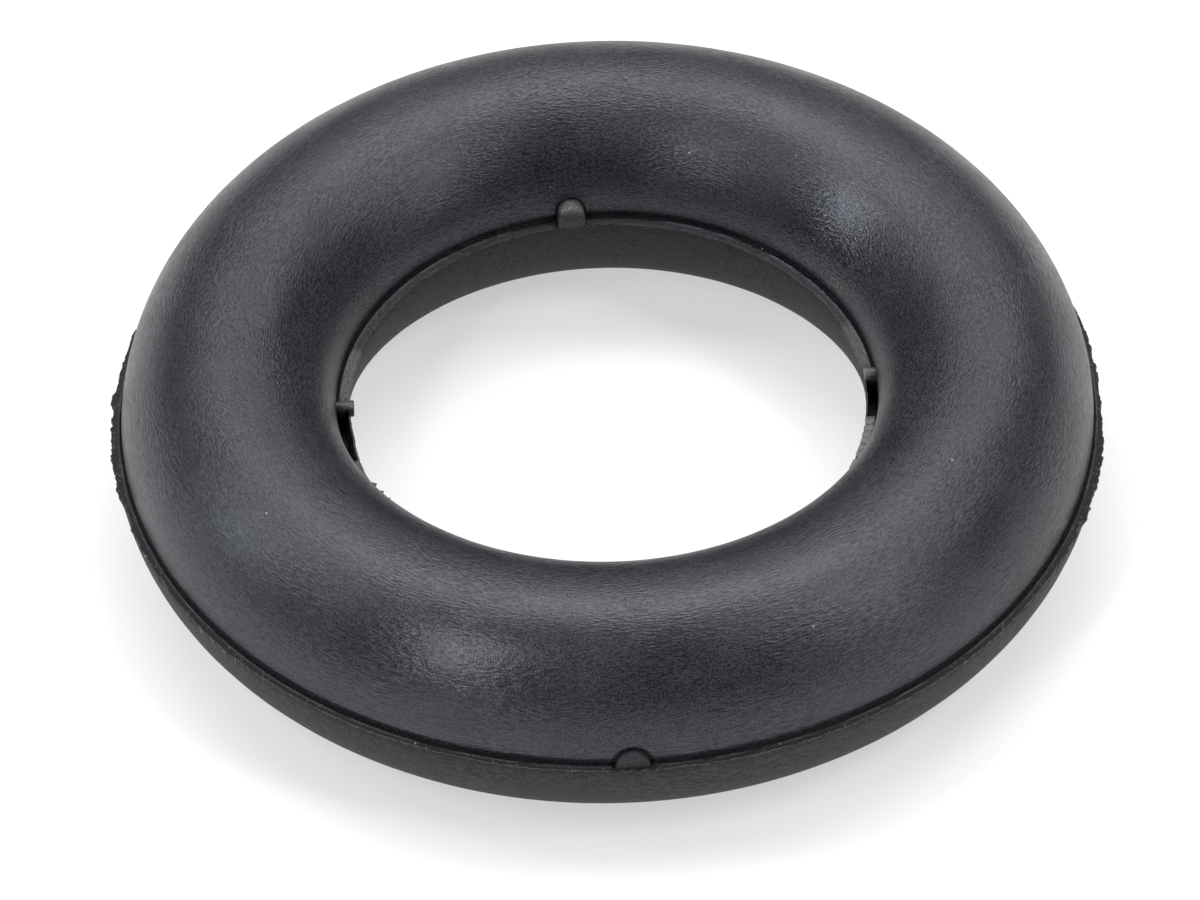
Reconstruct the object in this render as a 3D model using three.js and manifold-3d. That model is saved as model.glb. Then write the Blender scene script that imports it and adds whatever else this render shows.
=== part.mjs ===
// Exhaust mounting ring: a thick rubber ring, moulded in one piece, that hangs an exhaust pipe from hooks.
// It lies flat on its lower half. The two mould halves met at mid height, where the lower half stands
// proud of the upper one as a narrow ledge, outside and inside, with trimmed moulding nubs on it.
// Millimetres, +Z up. The origin is on the ring's axis, level with the flat that it lies on.

import * as THREE from 'three';
import { mergeVertices } from 'three/addons/utils/BufferGeometryUtils.js';
import Module from 'manifold-3d';

const wasm = await Module();
wasm.setup();

// Ring: the lower half gives the outer and hole sizes
const RING_DIAMETER = 62;
const HOLE_DIAMETER = 32.4;
const RING_HEIGHT = 15.1;
const REST_FLAT_WIDTH = 1.6;

// Parting: the mould halves met a little askew, so the ledge is higher in the hole than outside
const OUTER_PARTING_HEIGHT = 7.1;
const INNER_PARTING_HEIGHT = 8.2;
const OUTER_LEDGE_WIDTH = 0.5;
const INNER_LEDGE_WIDTH = 0.75;

// Groove at the foot of the upper half, and the fine ridge between it and the ledge
const GROOVE_WIDTH = 0.14;
const GROOVE_HEIGHT = 0.6;
const GROOVE_DEPTH = 0.12;
const GROOVE_UNDERCUT = 0.12;
const RIDGE_WIDTH = 0.12;
const RIDGE_HEIGHT = 0.1;

// Moulding nubs: arches that stand on the ledge against the upper half. Azimuth runs from +X towards +Y.
// Proud is how far the cut face passes the ledge's edge, and is negative where it stands back from it.
const NUBS = [
  { side: 'inner', azimuth: 6, width: 0.85, height: 0.55, proud: 0.15 },
  { side: 'inner', azimuth: 97, width: 1.75, height: 1.55, proud: 0 },
  { side: 'inner', azimuth: 180, width: 0.9, height: 0.6, proud: 0.3 },
  { side: 'inner', azimuth: 272, width: 1.2, height: 1.0, proud: 0 },
  { side: 'outer', azimuth: 272, width: 2.1, height: 1.15, proud: -0.2 },
];
const NUB_ROOT = 0.6;

// Facets
const RING_SEGMENTS = 96;
const LOWER_ARC_STEPS = 7;
const UPPER_ARC_STEPS = 8;
const NUB_ARC_STEPS = 8;

const RUBBER = new THREE.MeshStandardMaterial({ color: 0x2b2c2f, roughness: 0.62, metalness: 0 });

// Half of the section, from its middle out to the ledge's edge
const sectionRadius = (RING_DIAMETER + HOLE_DIAMETER) / 4;
const lowerHalfWidth = (RING_DIAMETER - HOLE_DIAMETER) / 4;

// Points of an elliptic arc about (0, centreHeight), from one angle to another, both included
function arc(centreHeight, halfWidth, halfHeight, fromAngle, toAngle, steps) {
  const points = [];
  for (let i = 0; i <= steps; i++) {
    const angle = fromAngle + ((toAngle - fromAngle) * i) / steps;
    points.push([halfWidth * Math.cos(angle), centreHeight + halfHeight * Math.sin(angle)]);
  }
  return points;
}

// Half of the section as [distance from its middle, height], from the rest flat's edge up to the crown
function halfSection(partingHeight, ledgeWidth) {
  const upperHalfWidth = lowerHalfWidth - ledgeWidth;
  const restHalf = REST_FLAT_WIDTH / 2;
  const restAngle = Math.acos(restHalf / lowerHalfWidth);
  const lowerHalfHeight = partingHeight / Math.sin(restAngle);
  const upperHalfHeight = RING_HEIGHT - partingHeight;
  const footAngle = Math.asin(GROOVE_HEIGHT / upperHalfHeight);
  const grooveBottom = upperHalfWidth - GROOVE_UNDERCUT;
  const ridgeTop = upperHalfWidth + GROOVE_WIDTH;
  return [
    ...arc(partingHeight, lowerHalfWidth, lowerHalfHeight, -restAngle, 0, LOWER_ARC_STEPS),
    [ridgeTop + RIDGE_WIDTH, partingHeight],
    [ridgeTop, partingHeight + RIDGE_HEIGHT],
    [grooveBottom, partingHeight - GROOVE_DEPTH],
    ...arc(partingHeight, upperHalfWidth, upperHalfHeight, footAngle, Math.PI / 2, UPPER_ARC_STEPS),
  ];
}

// The whole section's closed outline, turned about the ring's axis
function ringGeometry() {
  const outside = halfSection(OUTER_PARTING_HEIGHT, OUTER_LEDGE_WIDTH).map(([across, height]) => [
    sectionRadius + across,
    height,
  ]);
  const inside = halfSection(INNER_PARTING_HEIGHT, INNER_LEDGE_WIDTH).map(([across, height]) => [
    sectionRadius - across,
    height,
  ]);
  const crown = inside.pop();
  const outline = [...outside.slice(0, -1), crown, ...inside.reverse()];
  outline.push(outline[0]);
  const geometry = new THREE.LatheGeometry(
    outline.map(([radius, height]) => new THREE.Vector2(radius, height)),
    RING_SEGMENTS,
  );
  return geometry.rotateX(Math.PI / 2);
}

// An arch with straight sides and a round top, lying along the radius at the nub's azimuth
function nubGeometry(nub) {
  const halfWidth = nub.width / 2;
  const capRise = Math.min(halfWidth, nub.height);
  const arch = new THREE.Shape();
  arch.moveTo(-halfWidth, -NUB_ROOT);
  arch.lineTo(halfWidth, -NUB_ROOT);
  arch.lineTo(halfWidth, nub.height - capRise);
  arch.absellipse(0, nub.height - capRise, halfWidth, capRise, 0, Math.PI);
  arch.lineTo(-halfWidth, -NUB_ROOT);

  const outwards = nub.side === 'outer';
  const ledgeWidth = outwards ? OUTER_LEDGE_WIDTH : INNER_LEDGE_WIDTH;
  const length = ledgeWidth + NUB_ROOT + nub.proud;
  const geometry = new THREE.ExtrudeGeometry(arch, {
    depth: length,
    bevelEnabled: false,
    curveSegments: NUB_ARC_STEPS,
  });
  const rootRadius = outwards
    ? sectionRadius + lowerHalfWidth - ledgeWidth - NUB_ROOT
    : sectionRadius - lowerHalfWidth - nub.proud;
  const azimuth = THREE.MathUtils.degToRad(nub.azimuth);
  const radial = new THREE.Vector3(Math.cos(azimuth), Math.sin(azimuth), 0);
  const up = new THREE.Vector3(0, 0, 1);
  const tangent = new THREE.Vector3().crossVectors(up, radial);
  const place = new THREE.Matrix4().makeBasis(tangent, up, radial);
  place.setPosition(
    radial.x * rootRadius,
    radial.y * rootRadius,
    outwards ? OUTER_PARTING_HEIGHT : INNER_PARTING_HEIGHT,
  );
  return geometry.applyMatrix4(place);
}

function toSolid(geometry) {
  geometry.deleteAttribute('normal');
  geometry.deleteAttribute('uv');
  const merged = mergeVertices(geometry);
  return new wasm.Manifold(
    new wasm.Mesh({
      numProp: 3,
      vertProperties: Float32Array.from(merged.attributes.position.array),
      triVerts: Uint32Array.from(merged.index.array),
    }),
  );
}

function toGeometry(solid) {
  const mesh = solid.getMesh();
  const geometry = new THREE.BufferGeometry();
  geometry.setAttribute('position', new THREE.BufferAttribute(mesh.vertProperties, 3));
  geometry.setIndex(new THREE.BufferAttribute(mesh.triVerts, 1));
  geometry.computeVertexNormals();
  return geometry;
}

let ring = toSolid(ringGeometry());
for (const nub of NUBS) {
  ring = ring.add(toSolid(nubGeometry(nub)));
}

const mountingRing = new THREE.Mesh(toGeometry(ring), RUBBER);
mountingRing.name = 'mounting_ring';

const part = new THREE.Group();
part.add(mountingRing);

export default part;
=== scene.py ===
"""Exhaust mounting ring: a thick moulded rubber ring on a white floor under soft studio light.

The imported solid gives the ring's place, height and outer diameter. The ring is modelled here in
millimetres, as on a bench, and brought to metres when it is done. Azimuth runs from +X towards +Y,
in degrees, and the photograph was taken from the -Y side.
"""

import sys

import logging
import math
from dataclasses import dataclass
from enum import Enum
from typing import Callable, List, NamedTuple, Sequence, Tuple

import bmesh
import bpy
from mathutils import Matrix, Vector, noise


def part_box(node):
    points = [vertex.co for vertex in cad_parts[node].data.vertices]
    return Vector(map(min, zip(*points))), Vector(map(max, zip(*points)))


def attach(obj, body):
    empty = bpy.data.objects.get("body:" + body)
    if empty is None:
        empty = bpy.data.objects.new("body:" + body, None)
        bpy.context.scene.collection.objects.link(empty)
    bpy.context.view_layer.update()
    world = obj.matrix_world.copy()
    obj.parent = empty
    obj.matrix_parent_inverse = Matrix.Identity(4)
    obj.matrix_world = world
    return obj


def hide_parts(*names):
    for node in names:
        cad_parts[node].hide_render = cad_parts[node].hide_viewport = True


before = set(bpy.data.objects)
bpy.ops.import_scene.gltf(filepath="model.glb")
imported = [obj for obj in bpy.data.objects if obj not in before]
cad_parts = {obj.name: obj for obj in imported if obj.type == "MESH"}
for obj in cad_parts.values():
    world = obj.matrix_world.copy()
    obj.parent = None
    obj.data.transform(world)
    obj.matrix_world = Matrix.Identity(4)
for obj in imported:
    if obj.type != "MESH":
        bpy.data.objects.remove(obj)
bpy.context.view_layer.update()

log = logging.getLogger("mounting_ring")

MM = 0.001
RING_NODE = "mounting_ring"

# Attributes on the ring's points
TRIMMED = "trimmed"
# The second mark is painted sheen: a lighter colour painted where the ledge, its edge and the nub tops
# catch the light
PAINTED_SHEEN = "painted_sheen"
POLISHED = "polished"

# Millimetres: how near two places are taken as one, how near points are merged, and a cut's own limit
HAIR = 0.001
MERGE_WITHIN = 0.002
CUT_WITHIN = 0.0005

Colour = Tuple[float, float, float]
Span = Tuple[float, float]


class Side(Enum):
    """The two sides of the section: out on the rim, or in the hole."""

    OUTER = 1
    INNER = -1


class Half(Enum):
    """The two halves of the mould."""

    LOWER = -1
    UPPER = 1


def smooth_step(value: float) -> float:
    """Eases a value from 0 to 1, and holds it outside that range."""
    held = min(max(value, 0.0), 1.0)
    return held * held * (3.0 - 2.0 * held)


def degrees_apart(one: float, other: float) -> float:
    """Gives the angle between two azimuths, from 0 to 180 degrees."""
    return abs((one - other + 180.0) % 360.0 - 180.0)


def enter_edit_mode() -> None:
    """Starts to edit the active object's mesh."""
    bpy.ops.object.mode_set(mode="EDIT")


def leave_edit_mode() -> None:
    """Goes back to object mode."""
    bpy.ops.object.mode_set(mode="OBJECT")


def deselect_all() -> None:
    """Leaves edit mode and deselects every object, the solids of the frame among them."""
    if bpy.context.object and bpy.context.object.mode != "OBJECT":
        leave_edit_mode()
    bpy.ops.object.select_all(action="DESELECT")


def work_on(piece: bpy.types.Object) -> None:
    """Makes one object the selected and active one, in object mode."""
    deselect_all()
    piece.select_set(True)
    bpy.context.view_layer.objects.active = piece


def apply_place() -> None:
    """Puts the selected object's place, turn and size into its mesh."""
    bpy.ops.object.transform_apply(location=True, rotation=True, scale=True)


def select_mesh() -> None:
    """Selects all of the edited mesh."""
    bpy.ops.mesh.select_all(action="SELECT")


def merge_points(distance: float) -> None:
    """Merges those points of the edited mesh that lie nearer to each other than a distance."""
    select_mesh()
    bpy.ops.mesh.remove_doubles(threshold=distance)


def resize(value: Sequence[float], about: Sequence[float] = (0, 0, 0)) -> None:
    """Scales what is selected about one place."""
    bpy.ops.transform.resize(value=value, center_override=about)


def move(value: Sequence[float]) -> None:
    """Moves what is selected."""
    bpy.ops.transform.translate(value=value)


def select_points(piece: bpy.types.Object, wanted: Callable[[Vector], bool]) -> int:
    """Selects, in edit mode, the vertices at wanted places and what lies between them.

    Args:
        piece: The object, which is in edit mode.
        wanted: Tells from a vertex's place, in millimetres, if it is selected.

    Returns:
        How many vertices were selected.
    """
    bpy.ops.mesh.select_mode(type="VERT")
    bpy.ops.mesh.select_all(action="DESELECT")
    edited = bmesh.from_edit_mesh(piece.data)
    count = 0
    for vertex in edited.verts:
        vertex.select = wanted(vertex.co)
        count += vertex.select
    edited.select_flush(True)
    bmesh.update_edit_mesh(piece.data)
    return count


class Spot(NamedTuple):
    """A place on the ring, seen on its section, in millimetres and degrees.

    Across is its distance from the section's middle, and drop is how far below the ledge it lies.
    """

    side: Side
    azimuth: float
    across: float
    drop: float


@dataclass(frozen=True)
class Section:
    """The ring's section, in millimetres.

    The lower half is the wider one, and its edge is the ledge. The groove runs at the upper half's
    foot, and the ridge between the groove and the ledge.
    """

    ring_radius: float
    height: float
    hole_radius: float = 16.2
    outer_parting: float = 7.1
    inner_parting: float = 8.2
    outer_ledge_width: float = 0.5
    inner_ledge_width: float = 0.75
    rest_flat_width: float = 1.6
    groove_width: float = 0.14
    groove_height: float = 0.6
    groove_depth: float = 0.12
    groove_undercut: float = 0.12
    ridge_width: float = 0.12
    ridge_height: float = 0.1

    @classmethod
    def from_frame(cls) -> "Section":
        """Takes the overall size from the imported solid."""
        low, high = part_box(RING_NODE)
        return cls(ring_radius=(high.x - low.x) / 2 / MM, height=(high.z - low.z) / MM)

    @property
    def middle(self) -> float:
        """Radius of the circle that the section's middle runs on."""
        return (self.ring_radius + self.hole_radius) / 2

    @property
    def lower_half_width(self) -> float:
        """Half the width of the lower half."""
        return (self.ring_radius - self.hole_radius) / 2

    def ledge_width(self, side: Side) -> float:
        """Gives the width of the ledge on one side."""
        return self.outer_ledge_width if side is Side.OUTER else self.inner_ledge_width

    def upper_half_width(self, side: Side) -> float:
        """Gives how far the upper half reaches from the middle on one side."""
        return self.lower_half_width - self.ledge_width(side)

    def ledge_start(self, side: Side) -> float:
        """Gives how far from the middle the ridge ends and the plain ledge starts on one side."""
        return self.upper_half_width(side) + self.groove_width + self.ridge_width

    def parting(self, side: Side) -> float:
        """Gives the height of the ledge on one side."""
        return self.outer_parting if side is Side.OUTER else self.inner_parting

    def radius(self, side: Side, across: float) -> float:
        """Gives the radius of a point that lies a distance across the section from its middle."""
        return self.middle + side.value * across

    def spot(self, place: Vector) -> Spot:
        """Finds a place on the section.

        Args:
            place: The place, in millimetres.

        Returns:
            Its side, azimuth, distance across and drop.
        """
        radius = math.hypot(place.x, place.y)
        side = Side.OUTER if radius > self.middle else Side.INNER
        across = (radius - self.middle) * side.value
        azimuth = math.degrees(math.atan2(place.y, place.x))
        return Spot(side, azimuth, across, self.parting(side) - place.z)


@dataclass(frozen=True)
class EdgeSpot:
    """A place where a ledge's edge sticks out by some millimetres, with its spread in degrees."""

    side: Side
    azimuth: float
    spread: float
    out: float

    def at(self, azimuth: float) -> float:
        """Gives how far it moves the edge out at one azimuth."""
        return self.out * smooth_step(1.0 - degrees_apart(azimuth, self.azimuth) / self.spread)


@dataclass(frozen=True)
class Stretch:
    """A stretch of a ledge between two azimuths, with an amount that fades at its ends."""

    side: Side
    start: float
    end: float
    amount: float
    fade: float = 2.0

    def at(self, azimuth: float) -> float:
        """Gives the amount at one azimuth."""
        middle = (self.start + self.end) / 2
        half = abs(self.end - self.start) / 2
        return self.amount * smooth_step((half - degrees_apart(azimuth, middle)) / self.fade)


@dataclass(frozen=True)
class Wear:
    """What trimming, tearing and handling left on the ring, and where a highlight is painted on it.

    Spots are where the edge stands out, and slits are deep slots behind a thin lip, by their depth.
    Filled stretches have no groove, plain ones a lower ridge, and cracked ones short cuts across the
    flash. Ragged stretches have the roughest edge, and sheen stretches a painted highlight where the
    ledge catches the light. Polished stretches are where handling has made the upper half shine.
    """

    spots: Sequence[EdgeSpot]
    polished: Sequence[Stretch]
    slits: Sequence[Stretch]
    filled: Sequence[Stretch]
    plain: Sequence[Stretch]
    cracked: Sequence[Stretch]
    ragged: Sequence[Stretch]
    painted_sheen: Sequence[Stretch]

    @staticmethod
    def total(marks: Sequence, side: Side, azimuth: float) -> float:
        """Adds up the marks of one kind on one side at one azimuth."""
        return sum(mark.at(azimuth) for mark in marks if mark.side is side)


@dataclass(frozen=True)
class Ripple:
    """A rolling unevenness, by its height, its waves per millimetre and a number that sets it off."""

    height: float
    density: float
    seed: float = 0.0

    def at(self, around: Vector, side: float = 1.0) -> float:
        """Gives its height at one place on one side."""
        shift = Vector((0, 0, self.seed * side))
        return self.height * noise.noise(around * self.density + shift)


@dataclass(frozen=True)
class Jag:
    """A stepped unevenness, by its height, the length of its steps and a number that sets it off."""

    height: float
    length: float
    seed: float

    def at(self, along: float, side: float) -> float:
        """Gives its height at one distance along the edge."""
        cell = Vector((along / self.length, self.seed, side))
        return self.height * (noise.cell(cell) - 0.5)


@dataclass(frozen=True)
class Nub:
    """A trimmed moulding nub: an arch that stands on the ledge against the upper half.

    Proud is how far its cut face passes the ledge's edge, moat how wide a gap is cut round it, its
    sheen how far a painted highlight lightens its top, and disc how far the squashed end of a proud
    nub is wider than the nub.
    Root is how far it runs into the upper half. A short root leaves its rounded back free in the
    moat.
    """

    side: Side
    azimuth: float
    width: float
    height: float
    proud: float
    moat: float = 0.0
    painted_sheen: float = 0.0
    disc: float = 0.0
    root: float = 0.6

    SHORT_ROOT = 0.5

    @property
    def free_back(self) -> bool:
        """Tells if its back end stands free in the moat."""
        return self.root < self.SHORT_ROOT

    def holds(self, spot: Spot, section: Section, margin: float) -> bool:
        """Tells if a place is on the nub.

        Args:
            spot: The place.
            section: The ring's section.
            margin: How far past the nub's outline still counts, in millimetres.

        Returns:
            True on the nub.
        """
        on_ledge = spot.across >= section.upper_half_width(spot.side) and spot.drop <= 0.0
        if self.side is not spot.side or not on_ledge:
            return False
        turn = math.radians(degrees_apart(spot.azimuth, self.azimuth))
        aside = turn * section.radius(spot.side, spot.across)
        return aside < self.width / 2 + margin and spot.drop > -self.height - margin


@dataclass(frozen=True)
class TornEdge:
    """The ledges' torn and trimmed edges, in millimetres.

    Reach is how far down from the ledge the edge's unevenness fades away. The lip is what is left
    outside a slit. The ridge has a share of its full height, which varies and has a limit.
    """

    section: Section
    wear: Wear
    reach: float = 0.9
    lip_width: float = 0.12
    least_roughness: float = 0.35
    rolling: Ripple = Ripple(0.05, 0.35, 1.3)
    wavy: Ripple = Ripple(0.045, 1.3, 3.7)
    teeth: Ripple = Ripple(0.035, 5.1, 9.1)
    steps: Jag = Jag(0.07, 1.15, 4.4)
    small_steps: Jag = Jag(0.06, 0.42, 7.1)
    lift: Ripple = Ripple(0.05, 3.0, 5.0)
    crack_spacing: float = 2.1
    crack_wander: float = 0.7
    crack_wander_seed: float = 3.3
    crack_half_width: float = 0.45
    crack_sink: float = 0.6
    ridge_share: float = 0.75
    ridge_ripple: Ripple = Ripple(0.5, 0.5)
    ridge_limit: float = 1.2
    ridge_from: float = 0.4
    filled_level: float = 0.3
    slit_top: float = 0.5

    def offset(self, side: Side, azimuth: float) -> float:
        """Gives how far the ledge's edge stands out from its circle.

        Args:
            side: The side of the section.
            azimuth: Where on the ring, in degrees.

        Returns:
            The distance in millimetres, outwards from the section's middle.
        """
        angle = math.radians(azimuth)
        radius = self.section.radius(side, self.section.lower_half_width)
        around = Vector((math.cos(angle), math.sin(angle), 0.0)) * radius
        along = angle * radius
        facing = side.value
        rough = self.least_roughness + Wear.total(self.wear.ragged, side, azimuth)
        uneven = self.wavy.at(around, facing) + self.steps.at(along, facing)
        uneven += self.small_steps.at(along, facing)
        uneven += self.teeth.at(around, facing)
        spots = Wear.total(self.wear.spots, side, azimuth)
        return rough * uneven + self.rolling.at(around, facing) + spots

    def lift_at(self, place: Vector) -> float:
        """Gives how far the ledge's edge is lifted at one place."""
        return self.lift.at(Vector((place.x, place.y, 0.0)))

    def crack_depth(self, side: Side, azimuth: float) -> float:
        """Gives how deep a short cut across the flash is.

        Args:
            side: The side of the section.
            azimuth: Where on the ring, in degrees.

        Returns:
            The depth in millimetres, 0 beside the cuts.
        """
        amount = Wear.total(self.wear.cracked, side, azimuth)
        if amount <= 0.0:
            return 0.0
        place = azimuth / self.crack_spacing
        number = math.floor(place) * self.crack_wander_seed
        place += self.crack_wander * noise.noise(Vector((number, 0.0, 0.5)))
        from_crack = abs(place - round(place)) * self.crack_spacing
        return amount * smooth_step(1.0 - from_crack / self.crack_half_width)

    def groove_height(self, place: Vector, spot: Spot) -> float:
        """Gives the new height of a place in the groove or on the ridge.

        Args:
            place: The place, in millimetres.
            spot: The same place on the section.

        Returns:
            Its height, with the ridge uneven or lower and the groove filled, as wear has it.
        """
        s = self.section
        height = place.z
        ridge_start = s.upper_half_width(spot.side) + self.ridge_from * s.groove_width
        if spot.drop < 0 and spot.across > ridge_start:
            ridge = self.ridge_share + self.ridge_ripple.at(Vector((place.x, place.y, 0.0)))
            ridge -= Wear.total(self.wear.plain, spot.side, spot.azimuth)
            height = s.parting(spot.side) - spot.drop * min(max(ridge, 0.0), self.ridge_limit)
        level = s.parting(spot.side) + self.filled_level * s.ridge_height
        if height < level:
            height += (level - height) * Wear.total(self.wear.filled, spot.side, spot.azimuth)
        return height

    def tear(self, ring: bpy.types.Object) -> None:
        """Moves the points near the ledges' edges, so that the flash is ragged and torn.

        Args:
            ring: The ring, in object mode, with its ledges finely divided.
        """
        s = self.section
        for vertex in ring.data.vertices:
            place = vertex.co
            spot = s.spot(place)
            side, azimuth, across, drop = spot
            in_band = across >= s.upper_half_width(side) - 2 * s.groove_undercut
            if not in_band or not -s.groove_height < drop < self.reach:
                continue
            ledge_start = s.ledge_start(side)
            height = self.groove_height(place, spot) if across < ledge_start else place.z
            on_ledge = smooth_step((across - ledge_start) / (s.lower_half_width - ledge_start))
            sunk = across < s.lower_half_width - self.lip_width
            sunk = sunk and drop > -self.slit_top * s.groove_height
            slit = Wear.total(self.wear.slits, side, azimuth) if sunk else 0.0
            below = smooth_step(1.0 - max(drop + slit, 0.0) / self.reach)
            crack = self.crack_depth(side, azimuth)
            out = (self.offset(side, azimuth) - crack) * on_ledge * below
            height += self.lift_at(place) * on_ledge * below
            height -= self.crack_sink * crack * on_ledge * below + slit
            radius = math.hypot(place.x, place.y)
            grow = (radius + side.value * out) / radius
            vertex.co = Vector((place.x * grow, place.y * grow, height))


@dataclass(frozen=True)
class NubMaker:
    """Models the nubs, in millimetres, and joins them to the ring with the moats round them.

    A nub's foot runs down into the ledge, by a share of its height and at most foot_depth, and
    slants back under a nub that isn't proud. Tools pass each other by the overlap, so that no two
    faces are level.
    """

    section: Section
    arch_points: int = 40
    disc_points: int = 32
    foot_depth: float = 0.45
    foot_share: float = 0.45
    foot_slant: float = 0.2
    overlap: float = 0.04
    moat_reach_in: float = 0.25
    moat_reach_out: float = 0.4
    least_bevel: float = 0.06
    face_bevel_share: float = 0.5
    disc_bevel_share: float = 0.3
    bevel_segments: int = 3

    def bar(
        self, points: int, radius: float, length: float, at: Span
    ) -> bpy.types.Object:
        """Adds a round bar that lies along the X axis, and starts to edit it.

        Args:
            points: How many corners it has round.
            radius: Its radius.
            length: Its length.
            at: Its middle's distance from the ring's axis, and its height.

        Returns:
            The bar as an object of its own.
        """
        deselect_all()
        bpy.ops.mesh.primitive_cylinder_add(
            vertices=points,
            radius=radius,
            depth=length,
            location=(at[0], 0, at[1]),
            rotation=(0, math.pi / 2, 0),
        )
        apply_place()
        enter_edit_mode()
        return bpy.context.object

    def turned(self, piece: bpy.types.Object, azimuth: float) -> bpy.types.Object:
        """Ends the editing of a piece on the X axis and turns it to its azimuth."""
        leave_edit_mode()
        piece.rotation_euler = (0, 0, math.radians(azimuth))
        apply_place()
        return piece

    def bevel(self, offset: float) -> None:
        """Rounds the selected edges."""
        bpy.ops.mesh.bevel(offset=offset, segments=self.bevel_segments, affect="EDGES")

    def arch(
        self, nub: Nub, reach_in: float, reach_out: float, extra: float = 0.0
    ) -> bpy.types.Object:
        """Models an arch on the ledge: a bar along the radius, its lower half pulled to a foot.

        Args:
            nub: Whose place and size it takes.
            reach_in: How far it runs into the upper half.
            reach_out: How far its face lies past the ledge's edge.
            extra: How much bigger it is all round. It is 0 for the nub itself, and the moat's
                width for the tool that cuts the moat.

        Returns:
            The arch as an object of its own.
        """
        s = self.section
        is_nub = extra <= 0.0
        foot = s.parting(nub.side)
        width = nub.width / 2 + extra
        cap = min(nub.width / 2, nub.height)
        length = s.ledge_width(nub.side) + reach_in + reach_out
        middle = s.radius(nub.side, s.upper_half_width(nub.side) - reach_in + length / 2)
        face = s.radius(nub.side, s.lower_half_width + reach_out)
        piece = self.bar(self.arch_points, width, length, (middle, 0))
        select_mesh()
        resize((1, 1, (cap + extra) / width))
        select_points(piece, lambda place: place.z < -HAIR)
        resize((1, 1, 0))
        move((0, 0, -(nub.height - cap) - (0.0 if is_nub else self.overlap)))
        select_mesh()
        bpy.ops.mesh.normals_make_consistent(inside=False)
        move((0, 0, foot + nub.height - cap))
        ends = [face]
        if is_nub:
            self.add_foot(piece, nub, face)
        if is_nub and nub.free_back:
            ends.append(face - nub.side.value * length)
        for end in ends:
            select_points(
                piece, lambda place: abs(place.x - end) < HAIR and place.z > foot + HAIR
            )
            self.bevel(max(self.least_bevel, self.face_bevel_share * nub.proud))
        return self.turned(piece, nub.azimuth)

    def add_foot(self, piece: bpy.types.Object, nub: Nub, face: float) -> None:
        """Extrudes an arch's underside down into the ledge.

        Args:
            piece: The arch, which is in edit mode on the X axis.
            nub: The nub that it becomes.
            face: Where on the X axis its face lies.
        """
        foot = self.section.parting(nub.side)
        depth = min(self.foot_depth, self.foot_share * nub.height)
        select_points(piece, lambda place: place.z < foot + HAIR)
        bpy.ops.mesh.extrude_region_move()
        move((0, 0, -depth))
        if nub.proud <= 0.0:
            low = foot - depth + HAIR
            select_points(piece, lambda place: abs(place.x - face) < HAIR and place.z < low)
            move((-nub.side.value * self.foot_slant, 0, 0))

    def end_disc(self, nub: Nub) -> bpy.types.Object:
        """Models the squashed end of a proud nub: a short bar that passes the ledge's edge.

        Args:
            nub: Whose end it is.

        Returns:
            The disc as an object of its own.
        """
        s = self.section
        radius = nub.width / 2 + nub.disc
        back = s.radius(nub.side, s.lower_half_width - 0.5 * self.overlap)
        face = s.radius(nub.side, s.lower_half_width + nub.proud + self.overlap)
        height = s.parting(nub.side) + nub.height + self.overlap - radius
        at = ((face + back) / 2, height)
        piece = self.bar(self.disc_points, radius, abs(face - back), at)
        select_points(piece, lambda place: abs(place.x - face) < HAIR)
        self.bevel(self.disc_bevel_share * nub.proud)
        return self.turned(piece, nub.azimuth)

    def combine(self, ring: bpy.types.Object, tool: bpy.types.Object, operation: str) -> None:
        """Joins a tool to the ring or cuts it away, and removes the tool.

        Args:
            ring: The ring.
            tool: A closed piece.
            operation: UNION or DIFFERENCE.
        """
        work_on(ring)
        change = ring.modifiers.new(operation.lower(), "BOOLEAN")
        change.operation = operation
        change.solver = "EXACT"
        change.object = tool
        bpy.ops.object.modifier_apply(modifier=change.name)
        bpy.data.objects.remove(tool, do_unlink=True)
        enter_edit_mode()
        merge_points(MERGE_WITHIN / 2)
        leave_edit_mode()

    def add(self, ring: bpy.types.Object, nub: Nub) -> None:
        """Cuts the moat round a nub and stands the nub in it.

        Args:
            ring: The ring.
            nub: The nub.
        """
        if nub.moat > 0:
            reach_in = nub.root + nub.moat if nub.free_back else self.moat_reach_in
            tool = self.arch(nub, reach_in, self.moat_reach_out, nub.moat)
            self.combine(ring, tool, "DIFFERENCE")
        self.combine(ring, self.arch(nub, nub.root, nub.proud), "UNION")
        if nub.disc > 0:
            self.combine(ring, self.end_disc(nub), "UNION")
        log.info("nub at azimuth %d joined", nub.azimuth)


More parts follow.
